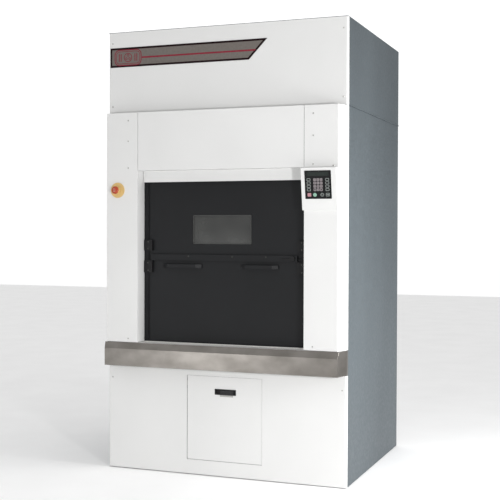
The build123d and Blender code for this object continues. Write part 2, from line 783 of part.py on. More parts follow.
def sprocket(name, x, z):
    """A chain wheel on its fixed pin."""
    with BuildPart() as wheel:
        disc_y(sprocket_radius, x, z, sprocket_y)
        disc_y(pin_radius + 7, x, z, (front + 49, front + 59.5))
        with Locations(Location((x, sum(sprocket_y) / 2, z), (90, 0, 0))):
            with PolarLocations(21, 5):
                Cylinder(5, 20, mode=Mode.SUBTRACT)
        disc_y(pin_radius + running_clearance, x, z, (front + 40, front + 70), Mode.SUBTRACT)
    save(wheel, name)


for side_name, sign in (("left", -1), ("right", 1)):
    for end_name, axis_z in (("upper", chain_top), ("lower", chain_bottom)):
        sprocket(f"{side_name}_{end_name}_sprocket", sign * chain_axis_x, axis_z)


# ---------------------------------------------------------------- sliding doors
def door_pan(low_z, high_z):
    """A door skin with a stiffening rim round its back."""
    wide = (-door_half_width, door_half_width)
    block(wide, (door_front, door_back), (low_z, high_z))
    hollow_x = (-door_half_width + 18, door_half_width - 18)
    block(hollow_x, (door_front + sheet, door_back + 1), (low_z + 18, high_z - 18), Mode.SUBTRACT)


def across(sign, near, far):
    """X limits of something between two distances from the middle, on one side of the machine."""
    return sorted((sign * near, sign * far))


lug_root_x = 432
lug_half_height = 15


def chain_lug(sign, strand_x, z):
    """An arm from the door's back, behind the guide rail, to a fork round its chain strand."""
    arm_y = (front + 44, front + 50)
    lug_z = (z - lug_half_height, z + lug_half_height)
    block(across(sign, lug_root_x, strand_x + 12), arm_y, lug_z)
    block(across(sign, lug_root_x, lug_root_x + 24), (door_front + 1, arm_y[1]), lug_z)
    block(across(sign, strand_x - 12, strand_x + 12), (arm_y[0], front + 62), lug_z)
    slot_z = (lug_z[0] - 1, lug_z[1] + 1)
    block(across(sign, strand_x - 4.6, strand_x + 4.6), (chain_y[0] - 0.6, front + 63), slot_z, Mode.SUBTRACT)


shoe_inner_x = 433
shoe_outer_x = 484
shoe_front = front - 4


def guide_shoe(sign, z_range):
    """A shoe on the door's face whose outer wing laps over the guide rail's front lip."""
    block(across(sign, shoe_inner_x, shoe_inner_x + 25), (shoe_front, door_front), z_range)
    block(across(sign, shoe_inner_x, shoe_outer_x), (shoe_front, front + 5), z_range)


upper_shoe_z = (1254, 1314)
lower_shoe_z = (1130, 1197)
inner_strand = chain_axis_x - chain_half_gap
outer_strand = chain_axis_x + chain_half_gap
window_x = (-188, 165)
window_z = (1292, 1455)
window_lap = 12
glass_clearance = 1
with BuildPart() as upper_door_panel:
    door_pan(upper_door_bottom, upper_door_top)
    surround_x = (window_x[0] - 28, window_x[1] + 28)
    surround_z = (window_z[0] - 28, window_z[1] + 28)
    block(surround_x, (door_front, door_back), surround_z)
    pocket_x = (window_x[0] - window_lap, window_x[1] + window_lap)
    pocket_z = (window_z[0] - window_lap, window_z[1] + window_lap)
    block(pocket_x, (door_front + 4, door_back + 1), pocket_z, Mode.SUBTRACT)
    block(window_x, (door_front - 1, door_back), window_z, Mode.SUBTRACT)
    for sign in (-1, 1):
        chain_lug(sign, inner_strand, 1280)
save(upper_door_panel, "upper_door_panel")

with BuildPart() as upper_door_window:
    glass_x = (pocket_x[0] + glass_clearance, pocket_x[1] - glass_clearance)
    glass_z = (pocket_z[0] + glass_clearance, pocket_z[1] - glass_clearance)
    block(glass_x, (door_front + 4.2, door_front + 10), glass_z)
save(upper_door_window, "upper_door_window")

with BuildPart() as upper_door_shoes:
    for sign in (-1, 1):
        guide_shoe(sign, upper_shoe_z)
save(upper_door_shoes, "upper_door_shoes")

rail_reach = 12
meeting_rail_x = (-443, 431)
meeting_rail_z = (1200, 1234)
with BuildPart() as meeting_rail:
    block(meeting_rail_x, (door_front - rail_reach, door_front - 2), meeting_rail_z)
    block(meeting_rail_x, (door_front - 3, door_front), (upper_door_bottom + 1, meeting_rail_z[1]))
save(meeting_rail, "meeting_rail")

latch_y = (front - 4, door_front - rail_reach)
latch_knob_x = 406
latch_knob_z = sum(meeting_rail_z) / 2
with BuildPart() as door_latch:
    block((latch_knob_x - 63, latch_knob_x - 2), latch_y, (latch_knob_z - 8, latch_knob_z))
    disc_y(13.5, latch_knob_x, latch_knob_z, (front - 6, latch_y[1]))
save(door_latch, "door_latch")

with BuildPart() as lower_door_panel:
    door_pan(lower_door_bottom, lower_door_top)
    for sign in (-1, 1):
        chain_lug(sign, outer_strand, 1180)
save(lower_door_panel, "lower_door_panel")

with BuildPart() as lower_door_shoes:
    for sign in (-1, 1):
        guide_shoe(sign, lower_shoe_z)
save(lower_door_shoes, "lower_door_shoes")

handle_spans = ((-364, -131), (106, 322))
handle_reach = 27
handle_bar = 11
handle_foot = 22
handle_low = 1159
handle_height = 20
with BuildPart() as lower_door_handles:
    for low_x, high_x in handle_spans:
        bar_front = door_front - handle_reach
        bar_back = bar_front + handle_bar
        outline = [
            (low_x, door_front),
            (low_x, door_front - 8),
            (low_x + 30, bar_front),
            (high_x - 30, bar_front),
            (high_x, door_front - 8),
            (high_x, door_front),
            (high_x - handle_foot, door_front),
            (high_x - 38, bar_back),
            (low_x + 38, bar_back),
            (low_x + handle_foot, door_front),
        ]
        with BuildSketch(Plane.XY.offset(handle_low)) as bow:
            with BuildLine():
                Polyline(*outline, close=True)
            make_face()
        extrude(bow.sketch, amount=handle_height)
save(lower_door_handles, "lower_door_handles")

# ---------------------------------------------------------------- lint door
hinge_y = front + 5
hinge_z = lint_door_z[0] + 4
cup_x = (-46, 80)
cup_z = (457, 489)


def cup_block(inset, y, mode=Mode.ADD):
    """A box inside the latch cup's outline, drawn in by an inset on all four sides."""
    x = (cup_x[0] + inset, cup_x[1] - inset)
    block(x, y, (cup_z[0] + inset, cup_z[1] - inset), mode)


with BuildPart() as lint_door_panel:
    block(lint_door_x, (front, front + sheet), lint_door_z)
    disc_x(3.2, hinge_y, hinge_z, (lint_door_x[0] + 4, lint_door_x[1] - 4))
    cup_block(3, (front - 1, front + 5), Mode.SUBTRACT)
save(lint_door_panel, "lint_door_panel")

with BuildPart() as lint_latch_cup:
    cup_block(0, (front - 2, front))
    cup_block(3.2, (front, front + 7.5))
    cup_block(5, (front - 3, front + 6), Mode.SUBTRACT)
save(lint_latch_cup, "lint_latch_cup")

paddle_x = (-14, 64)
paddle_step_z = (cup_z[0] + 6, cup_z[0] + 8)
paddle_lip_low = cup_z[0] - 9
with BuildPart() as lint_latch_paddle:
    block(paddle_x, (front + 2, front + 4), (paddle_step_z[0], cup_z[1] - 9))
    block(paddle_x, (front - 5, front + 4), paddle_step_z)
    block(paddle_x, (front - 5, front - 3), (paddle_lip_low, paddle_step_z[1]))
save(lint_latch_paddle, "lint_latch_paddle")
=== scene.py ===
"""The looks of an industrial laundry tumble dryer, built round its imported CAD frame."""

import json
import math

import bmesh
import bpy
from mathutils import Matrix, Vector


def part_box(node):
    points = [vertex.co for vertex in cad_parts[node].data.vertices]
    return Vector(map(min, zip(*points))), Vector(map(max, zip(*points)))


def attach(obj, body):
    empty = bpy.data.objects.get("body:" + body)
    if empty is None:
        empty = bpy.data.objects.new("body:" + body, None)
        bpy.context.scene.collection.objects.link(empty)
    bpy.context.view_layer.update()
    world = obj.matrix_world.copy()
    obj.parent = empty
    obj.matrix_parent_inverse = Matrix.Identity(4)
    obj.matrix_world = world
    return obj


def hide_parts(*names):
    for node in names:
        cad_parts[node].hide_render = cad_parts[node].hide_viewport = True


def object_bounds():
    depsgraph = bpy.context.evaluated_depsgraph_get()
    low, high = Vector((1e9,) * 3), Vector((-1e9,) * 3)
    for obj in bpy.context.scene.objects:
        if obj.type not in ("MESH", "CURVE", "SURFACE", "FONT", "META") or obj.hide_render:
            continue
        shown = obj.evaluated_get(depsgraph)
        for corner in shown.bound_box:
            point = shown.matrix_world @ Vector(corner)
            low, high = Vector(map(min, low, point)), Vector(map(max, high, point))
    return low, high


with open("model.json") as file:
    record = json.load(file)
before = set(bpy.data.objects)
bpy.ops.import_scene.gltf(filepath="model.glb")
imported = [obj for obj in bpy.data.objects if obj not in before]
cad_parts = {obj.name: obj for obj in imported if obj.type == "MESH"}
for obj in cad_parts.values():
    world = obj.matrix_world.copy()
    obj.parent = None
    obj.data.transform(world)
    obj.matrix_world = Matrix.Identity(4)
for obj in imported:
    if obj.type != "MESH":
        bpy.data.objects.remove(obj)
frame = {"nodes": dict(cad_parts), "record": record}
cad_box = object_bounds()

MM = 0.001
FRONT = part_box("upper_front_panel")[0].y / MM  # the cabinet's front plane, in mm
FACE = FRONT - 80  # the door housing's face
DOOR = FRONT + 14  # the doors' faces
FLOOR_Z = cad_box[0][2]


# ------------------------------------------------------------------ camera and light
def link(obj):
    """Put an object in the scene."""
    bpy.context.scene.collection.objects.link(obj)
    return obj


def add_node(owner, kind, inputs=(), **settings):
    """Add a shader node to a material or world, set its properties and fill its inputs."""
    node = owner.node_tree.nodes.new(kind)
    for key, value in settings.items():
        setattr(node, key, value)
    connect(owner, node, inputs)
    return node


def connect(owner, node, inputs):
    """Fill a node's inputs: a socket is linked and a plain value is set."""
    for key, value in dict(inputs).items():
        if isinstance(value, bpy.types.NodeSocket):
            owner.node_tree.links.new(value, node.inputs[key])
        else:
            node.inputs[key].default_value = value


def set_camera():
    """A standing person's view from the right front corner, with a long lens."""
    data = bpy.data.cameras.new("camera")
    data.lens = 73.7
    data.clip_end = 60
    camera = link(bpy.data.objects.new("camera", data))
    camera.location = (2.1706, FRONT * MM - 5.2213, 1.3673)
    pitch, roll, yaw = 1.078, -0.16, 21.057
    camera.rotation_euler = (math.radians(90 - pitch), math.radians(roll), math.radians(yaw))
    bpy.context.scene.camera = camera


def add_light(name, place, target, size, power):
    """A square soft box aimed at a point."""
    data = bpy.data.lights.new(name, "AREA")
    data.shape = "SQUARE"
    data.size = size
    data.energy = power
    lamp = link(bpy.data.objects.new(name, data))
    lamp.location = place
    aim = Vector(target) - lamp.location
    lamp.rotation_euler = aim.to_track_quat("-Z", "Y").to_euler()


def set_studio():
    """A white wall behind the machine and a dimmer room in front, with soft boxes on both sides."""
    world = bpy.data.worlds.new("studio")
    world.use_nodes = True
    bpy.context.scene.world = world
    direction = add_node(world, "ShaderNodeTexCoord").outputs["Generated"]
    level = None
    white_wall = ((-0.36, 0.93, 0), 0.87, 0.935, 0.3, 1.02)
    bright_ceiling = ((0, 0, 1), 0.0, 1.0, 0.0, 0.77)
    dim_right_side = ((1, 0, 0), 0.2, 0.8, 0.0, -0.22)
    for axis, low, high, start, end in (white_wall, bright_ceiling, dim_right_side):
        facing = add_node(
            world, "ShaderNodeVectorMath", {0: direction, 1: axis}, operation="DOT_PRODUCT"
        ).outputs["Value"]
        part = add_node(
            world,
            "ShaderNodeMapRange",
            {"Value": facing, "From Min": low, "From Max": high, "To Min": start, "To Max": end},
        ).outputs["Result"]
        level = part if level is None else add_node(
            world, "ShaderNodeMath", {0: level, 1: part}, operation="ADD"
        ).outputs["Value"]
    connect(world, world.node_tree.nodes["Background"], {"Color": (1, 1, 1, 1), "Strength": level})
    y = FRONT * MM
    add_light("key", (2.9, y - 3.4, 1.3), (0, y, 1.2), 0.25, 66)
    add_light("fill", (-2.1, y - 5.2, 0.45), (0, y, 0.7), 0.7, 20)
    add_light("side", (2.6, y - 0.1, 1.25), (0.7, y + 0.4, 1.25), 0.5, 52)
    bpy.context.scene.view_settings.view_transform = "Standard"


set_camera()
set_studio()


# ------------------------------------------------------------------ materials
def linear(code):
    """An sRGB hex colour as linear RGBA."""
    channels = [int(code[i:i + 2], 16) / 255 for i in (1, 3, 5)]
    return tuple(c / 12.92 if c <= 0.04045 else ((c + 0.055) / 1.055) ** 2.4 for c in channels) + (1,)


def start_material(name):
    """An empty node material and its shader."""
    material = bpy.data.materials.new(name)
    material.use_nodes = True
    return material, material.node_tree.nodes["Principled BSDF"]


def noise(material, size_mm, stretch=(1, 1, 1), detail=3):
    """A noise pattern whose blotches are about size_mm across, stretched along the machine's axes."""
    where = add_node(material, "ShaderNodeTexCoord").outputs["Object"]
    mapped = add_node(material, "ShaderNodeMapping", {"Vector": where, "Scale": stretch})
    inputs = {"Vector": mapped.outputs["Vector"], "Scale": 1 / (size_mm * MM), "Detail": detail}
    return add_node(material, "ShaderNodeTexNoise", inputs).outputs["Fac"]


def between(material, factor, low, high, low_at=0.3, high_at=0.7):
    """A ramp from one sRGB colour to another."""
    ramp = add_node(material, "ShaderNodeValToRGB", {"Fac": factor})
    ramp.color_ramp.elements[0].position = low_at
    ramp.color_ramp.elements[0].color = linear(low)
    ramp.color_ramp.elements[1].position = high_at
    ramp.color_ramp.elements[1].color = linear(high)
    return ramp.outputs["Color"]


def spread(material, factor, low, high):
    """Map a 0 to 1 pattern to a range of values."""
    inputs = {"Value": factor, "To Min": low, "To Max": high}
    return add_node(material, "ShaderNodeMapRange", inputs).outputs["Result"]


def relief(material, height, strength, depth_mm, edge_mm):
    """A normal with rounded-looking edges and a surface relief on top of them."""
    edges = add_node(material, "ShaderNodeBevel", {"Radius": edge_mm * MM}, samples=4).outputs["Normal"]
    inputs = {"Height": height, "Strength": strength, "Distance": depth_mm * MM, "Normal": edges}
    return add_node(material, "ShaderNodeBump", inputs).outputs["Normal"]


def powder_coat(name, low, high, roughness, grain_mm, strength, specular=0.5):
    """Powder-coated steel: sprayed as dry powder and baked, which leaves a fine orange peel."""
    material, shader = start_material(name)
    peel = noise(material, grain_mm)
    connect(material, shader, {
        "Base Color": between(material, noise(material, 600), low, high),
        "Roughness": spread(material, peel, roughness - 0.05, roughness + 0.05),
        "Specular IOR Level": specular,
        "Normal": relief(material, peel, strength, 0.3, 1.2),
    })
    return material


def galvanised():
    """Hot-dip galvanised sheet: zinc freezes in flat crystals, so it looks mottled and blue grey."""
    material, shader = start_material("galvanised_steel")
    where = add_node(material, "ShaderNodeTexCoord").outputs["Object"]
    crystals = add_node(material, "ShaderNodeTexVoronoi", {"Vector": where, "Scale": 1 / (14 * MM)})
    shade = add_node(material, "ShaderNodeSeparateColor", {"Color": crystals.outputs["Color"]}).outputs["Red"]
    drift = noise(material, 700, (1, 1, 0.3), 4)
    mixed = add_node(
        material,
        "ShaderNodeMix",
        {"Factor": 0.15, 2: drift, 3: shade},
        data_type="FLOAT",
    ).outputs["Result"]
    connect(material, shader, {
        "Base Color": between(material, mixed, "#50585D", "#626B70", 0.25, 0.75),
        "Metallic": 0.35,
        "Roughness": spread(material, shade, 0.42, 0.55),
        "Normal": relief(material, shade, 0.02, 0.2, 1.0),
    })
    return material


def brushed(name, low, high, roughness, stretch, painted_top_highlight=None, edge_mm=1.0):
    """Brushed stainless steel: a belt leaves fine parallel scratches, and hands leave dull smudges.

    Faces that look up can be given a painted highlight: a pale, nearly non-metallic colour that stands in for
    the bright line of light along the shelf's top.
    """
    material, shader = start_material(name)
    scratch = noise(material, 1.2, stretch, 4)
    smudge = noise(material, 170, (1, 1, 1.6), 5)
    colour = between(material, smudge, low, high, 0.35, 0.65)
    polish = spread(material, smudge, roughness + 0.08, roughness - 0.04)
    connect(material, shader, {
        "Base Color": colour,
        "Metallic": 1.0,
        "Roughness": polish,
        "Normal": relief(material, scratch, 0.25, 0.05, edge_mm),
    })
    # Painted highlight: faces looking up are mixed to a pale colour and made nearly non-metallic, so they read
    # as lit.
    if painted_top_highlight:
        facing = add_node(material, "ShaderNodeTexCoord").outputs["Normal"]
        upward = add_node(material, "ShaderNodeSeparateXYZ", {"Vector": facing}).outputs["Z"]
        top = add_node(
            material, "ShaderNodeMapRange", {"Value": upward, "From Min": 0.85, "From Max": 0.95}
        ).outputs["Result"]
        haze = add_node(material, "ShaderNodeMix", {"Factor": top, 6: colour, 7: linear(painted_top_highlight)}, data_type="RGBA")
        connect(material, shader, {
            "Base Color": haze.outputs[2],
            "Metallic": spread(material, top, 1.0, 0.1),
        })
    return material


def moulded(name, low, high, roughness, grain_mm=0.8, strength=0.15, specular=0.5):
    """Moulded plastic: an even colour with the mould's fine spark-eroded grain, which softens glare."""
    material, shader = start_material(name)
    grain = noise(material, grain_mm)
    connect(material, shader, {
        "Base Color": between(material, grain, low, high),
        "Roughness": roughness,
        "Specular IOR Level": specular,
        "Normal": relief(material, grain, strength, 0.1, 0.6),
    })
    return material


def metal(name, low, high, roughness, metallic=1.0, grain_mm=3.0):
    """Cast, plated or turned metal: its skin is slightly uneven, so highlights break up."""
    material, shader = start_material(name)
    grain = noise(material, grain_mm, detail=5)
    connect(material, shader, {
        "Base Color": between(material, grain, low, high),
        "Metallic": metallic,
        "Roughness": spread(material, grain, roughness - 0.06, roughness + 0.06),
        "Normal": relief(material, grain, 0.2, 0.2, 0.8),
    })
    return material


def printed(name, low, high, roughness=0.3, specular=0.3):
    """Ink on polyester film: smooth and even, with a very slight waviness where it is stuck down."""
    return moulded(name, low, high, roughness, 12, 0.04, specular)


def toughened_glass():
    """Toughened glass: grey float glass, smooth on both faces, dulled by a thin film of lint dust."""
    material, shader = start_material("toughened_grey_glass")
    haze = noise(material, 180, detail=2)
    connect(material, shader, {
        "Base Color": between(material, haze, "#424342", "#4D4E4C"),
        "Roughness": spread(material, haze, 0.12, 0.3),
        "Transmission Weight": 0.35,
        "IOR": 1.5,
    })
    return material


def paddle_with_painted_shade():
    """A zinc-plated latch paddle coloured black above its lip as painted shade for the part inside the latch
    cup, so only the lip shines.
    """
    material, shader = start_material("zinc_plate_with_painted_recess_shade")
    where = add_node(material, "ShaderNodeTexCoord").outputs["Generated"]
    height = add_node(material, "ShaderNodeSeparateXYZ", {"Vector": where}).outputs["Z"]
    grain = noise(material, 3, detail=4)
    # Painted shade: above 28% of the paddle's height it turns black and non-metallic, standing in for the shade
    # inside the cup.
    painted_shade_mask = add_node(
        material, "ShaderNodeMapRange", {"Value": height, "From Min": 0.27, "From Max": 0.29}
    ).outputs["Result"]
    plated = between(material, grain, "#9C9C99", "#B4B3AF")
    colour = add_node(
        material, "ShaderNodeMix", {"Factor": painted_shade_mask, 6: plated, 7: linear("#161618")}, data_type="RGBA"
    ).outputs[2]
    connect(material, shader, {
        "Base Color": colour,
        "Metallic": spread(material, painted_shade_mask, 0.7, 0.0),
        "Roughness": spread(material, grain, 0.36, 0.48),
    })
    return material


finish = {
    "white_powder_coat": powder_coat("white_powder_coat", "#DEDEDD", "#E3E3E2", 0.45, 2.5, 0.05),
    "black_powder_coat": powder_coat("black_powder_coat", "#151618", "#1B1C1E", 0.5, 1.2, 0.12, 0.25),
    "frame_steel": powder_coat("grey_primer", "#565A5D", "#63676A", 0.6, 1.5, 0.1),
    "motor_enamel": powder_coat("machine_enamel", "#39434D", "#424D58", 0.4, 2.0, 0.1),
    "galvanised_sheet": galvanised(),
    # The ledge's up-facing faces get the pale #F0EFEC as a painted highlight.
    "stainless_sheet": brushed("brushed_stainless", "#78746F", "#8D8984", 0.3, (0.02, 1, 1), "#F0EFEC", 3.0),
    "drum_steel": brushed("drum_stainless", "#A3A19D", "#BDBBB7", 0.28, (1, 0.02, 1)),
    "zinc_steel": metal("bright_zinc_plate", "#A9A9A6", "#C2C1BD", 0.32),
    "cast_iron": metal("oiled_cast_iron", "#3A3A3A", "#4C4B4A", 0.5, 0.9),
    "cast_aluminium": metal("cast_aluminium", "#A6A8AA", "#BBBDBF", 0.45),
    "gas_brass": metal("turned_brass", "#B08A45", "#C49C54", 0.3),
    "black_plastic": moulded("black_nylon", "#151516", "#1B1B1C", 0.5, specular=0.25),
    "yellow_plastic": moulded("yellow_abs", "#D6B676", "#DCBD7E", 0.45),
    "red_plastic": moulded("red_abs", "#A83C1A", "#B04420", 0.35),
    "key_print": printed("grey_print", "#858B88", "#8F9592", 0.5),
    "belt_rubber": moulded("belt_rubber", "#161616", "#1F1F1F", 0.75),
    "seal_felt": moulded("wool_felt", "#7A7266", "#8C8477", 0.95, 2.5, 0.6),
    "badge_film": printed("banner_grey_ink", "#6A6460", "#736D68"),
    "keypad_film": printed("keypad_black_ink", "#121213", "#181819", 0.35, 0.15),
    "window_glass": toughened_glass(),
}
bead_metal = metal("dark_anodised_aluminium", "#4E4F4E", "#5C5D5B", 0.45, 0.6)
# Pale, half-metallic steel used as a painted highlight on the shelf's back strip.
painted_highlight_steel = metal("pale_steel_painted_highlight", "#D6D5D2", "#E4E3E0", 0.4, 0.4)
dark_screw = metal("black_oxide_steel", "#4A4A49", "#5A5A58", 0.45)
dark_ink = printed("banner_maroon_ink", "#16080B", "#200D12", 0.5, 0.12)
red_ink = printed("banner_red_ink", "#7C2232", "#872B3A", 0.5, 0.2)
pale_ink = printed("keypad_pale_ink", "#837C7E", "#8C8587", 0.5)
pink_ink = printed("keypad_pink_ink", "#AF7F87", "#B88990", 0.5)
mint_ink = printed("keypad_mint_ink", "#84AC99", "#8FB6A3", 0.5)
white_ink = printed("button_white_ink", "#E0DEDA", "#EAE8E4", 0.5)
screen_film = printed("display_film", "#1E2422", "#262D2A", 0.12)

for entry in frame["record"]["subparts"]:
    mesh = frame["nodes"][entry["node"]].data
    mesh.materials.clear()
    mesh.materials.append(finish[entry["material_slot"]])
paddle = frame["nodes"]["lint_latch_paddle"].data
paddle.materials.clear()
paddle.materials.append(paddle_with_painted_shade())


# ------------------------------------------------------------------ mesh helpers
def front_plane(y, x=0, z=0):
    """Maps (across, up, outward) in mm to a point, for something facing the front at depth y."""
    return lambda u, v, w: Vector((x + u, y - w, z + v)) * MM


def inset(outline, amount):
    """An outline drawn in by a distance on every side, for corners given anticlockwise."""
    result = []
    count = len(outline)
    for i in range(count):
        before, here, after = (Vector(outline[(i + k) % count]) for k in (-1, 0, 1))
        one = (here - before).normalized()
        two = (after - here).normalized()
        left_one = Vector((-one.y, one.x))
        left_two = Vector((-two.y, two.x))
        mitre = (left_one + left_two) / (1 + left_one.dot(left_two))
        result.append(tuple(here + mitre * amount))
    return result


def rounded(width, height, radius, x=0, y=0, steps=4):
    """A rounded rectangle, anticlockwise."""
    points = []
    corners = ((1, 1, 0), (-1, 1, 90), (-1, -1, 180), (1, -1, 270))
    for sign_x, sign_y, start in corners:
        centre_x = x + sign_x * (width / 2 - radius)
        centre_y = y + sign_y * (height / 2 - radius)
        for step in range(steps + 1):
            turn = math.radians(start + 90 * step / steps)
            points.append((centre_x + radius * math.cos(turn), centre_y + radius * math.sin(turn)))
    return points


def ring(radius, x=0, y=0, steps=32):
    """A circle of points, anticlockwise."""
    turns = [2 * math.pi * i / steps for i in range(steps)]
    return [(x + radius * math.cos(t), y + radius * math.sin(t)) for t in turns]


def loft(bm, rings, closed_start=False, closed_end=False, loop=False):
    """Skin rings of the same number of points one after another."""
    made = [[bm.verts.new(point) for point in points] for points in rings]
    pairs = list(zip(made, made[1:] + made[:1])) if loop else list(zip(made, made[1:]))
    for low, high in pairs:
        for i in range(len(low)):
            j = (i + 1) % len(low)
            bm.faces.new((low[i], low[j], high[j], high[i]))
    if closed_start:
        bm.faces.new(made[0][::-1])
    if closed_end:
        bm.faces.new(made[-1])


def plate(bm, place, outline, low, high, ease):
    """A flat plate standing on a plane, with an eased front edge."""
    steps = ((0, low), (0, high - ease), (ease, high))
    rings = [[place(u, v, w) for u, v in inset(outline, draw)] for draw, w in steps]
    loft(bm, rings, closed_start=True, closed_end=True)


def band(bm, place, outline, width, low, high, ease):
    """A flat band that follows an outline, with both front edges eased."""
    steps = (
        (0, low), (0, high - ease), (ease, high),
        (width - ease, high), (width, high - ease), (width, low),
    )
    rings = [[place(u, v, w) for u, v in inset(outline, draw)] for draw, w in steps]
    loft(bm, rings, loop=True)


def screw_head(bm, place, radius):
    """A button head with a hexagon socket."""
    profile = [
        (radius, 0), (radius, 0.3), (radius * 0.9, radius * 0.28),
        (radius * 0.7, radius * 0.44), (radius * 0.5, radius * 0.5),
    ]
    steps = 24
    turns = [2 * math.pi * i / steps for i in range(steps)]
    rings = [[place(r * math.cos(t), r * math.sin(t), w) for t in turns] for r, w in profile]
    across = radius * 0.36

    def socket(depth):
        """The hexagon socket's outline at a depth."""
        points = []
        for t in turns:
            r = across / math.cos((t % (math.pi / 3)) - math.pi / 6)
            points.append(place(r * math.cos(t), r * math.sin(t), depth))
        return points

    rings += [socket(radius * 0.5), socket(radius * 0.2)]
    loft(bm, rings, closed_start=True, closed_end=True)


def piece(name, bm, material, body, smooth_angle=35):
    """Turn built geometry into a piece that moves with a CAD body."""
    bmesh.ops.recalc_face_normals(bm, faces=bm.faces)
    mesh = bpy.data.meshes.new(name)
    bm.to_mesh(mesh)
    bm.free()
    mesh.materials.append(material)
    mesh.shade_smooth()
    mesh.set_sharp_from_angle(angle=math.radians(smooth_angle))
    obj = link(bpy.data.objects.new(name, mesh))
    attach(obj, body)
    return obj


# ------------------------------------------------------------------ printed banner
BANNER = [(-701, 2300), (151, 2300), (258, 2411), (-701, 2411)]


def banner():
    """Screen-printed decoration on the banner: a dark border, a red line and a plain red sign."""
    place = front_plane(FRONT - 1.5)
    bm = bmesh.new()
    band(bm, place, BANNER, 11, 0, 0.15, 0.05)
    piece("banner_border", bm, dark_ink, "cabinet")
    bm = bmesh.new()
    slope = (BANNER[2][0] - BANNER[1][0]) / (BANNER[2][1] - BANNER[1][1])
    low, high = 2346, 2355
    ends = [BANNER[1][0] + slope * (z - BANNER[1][1]) - 11 for z in (low, high)]
    line = [(-500, low), (ends[0], low), (ends[1], high), (-500, high)]
    plate(bm, place, line, 0, 0.2, 0.05)
    piece("banner_line", bm, red_ink, "cabinet")
    bm = bmesh.new()
    sign_x, sign_z = -588, 2354
    band(bm, place, rounded(172, 92, 30, sign_x, sign_z), 5, 0, 0.2, 0.05)
    band(bm, place, rounded(152, 72, 22, sign_x, sign_z), 3, 0, 0.2, 0.05)
    band(bm, place, ring(26, sign_x, sign_z), 4, 0, 0.2, 0.05)
    for blade in range(3):
        turn = math.radians(90 + 120 * blade)
        centre = (sign_x + 12 * math.cos(turn), sign_z + 12 * math.sin(turn))
        band(bm, place, ring(7, *centre, steps=20), 3, 0, 0.2, 0.05)
    for x in (-56, -44, 44, 56):
        plate(bm, place, rounded(5, 44, 2, sign_x + x, sign_z), 0, 0.2, 0.05)
    piece("banner_sign", bm, red_ink, "cabinet")


banner()


# ------------------------------------------------------------------ keypad
KEYPAD_TILT = math.atan2(35, 222)
KEYPAD_X, KEYPAD_Z = 586, 1608
KEYPAD_Y = FACE - 22 - (KEYPAD_Z - 1475) * 35 / 222


def keypad_plane(u, v, w):
    """Maps (across, up, outward) in mm from the middle of the keypad overlay's face to a point."""
    out = w + 1
    y = KEYPAD_Y - v * math.sin(KEYPAD_TILT) - out * math.cos(KEYPAD_TILT)
    z = KEYPAD_Z + v * math.cos(KEYPAD_TILT) - out * math.sin(KEYPAD_TILT)
    return Vector((KEYPAD_X + u, y, z)) * MM


def key_digit(bm, text, x, y, height):
    """A digit laid on the keypad."""
    curve = bpy.data.curves.new("digit", "FONT")
    curve.body = text
    curve.size = height
    curve.extrude = 0.06
    curve.resolution_u = 3
    curve.align_x = "CENTER"
    curve.align_y = "CENTER"
    holder = link(bpy.data.objects.new("digit", curve))
    evaluated = holder.evaluated_get(bpy.context.evaluated_depsgraph_get())
    mesh = bpy.data.meshes.new_from_object(evaluated)
    for vertex in mesh.vertices:
        vertex.co = keypad_plane(x + vertex.co.x, y + vertex.co.y, 0.7 + vertex.co.z)
    bm.from_mesh(mesh)
    bpy.data.meshes.remove(mesh)
    bpy.data.objects.remove(holder)
    bpy.data.curves.remove(curve)


KEY_PITCH = 17.5
KEY_ROWS = [KEY_PITCH * n for n in (1.5, 0.5, -0.5, -1.5)]
SIDE_COLUMN = 50.5
START_ROW = -53


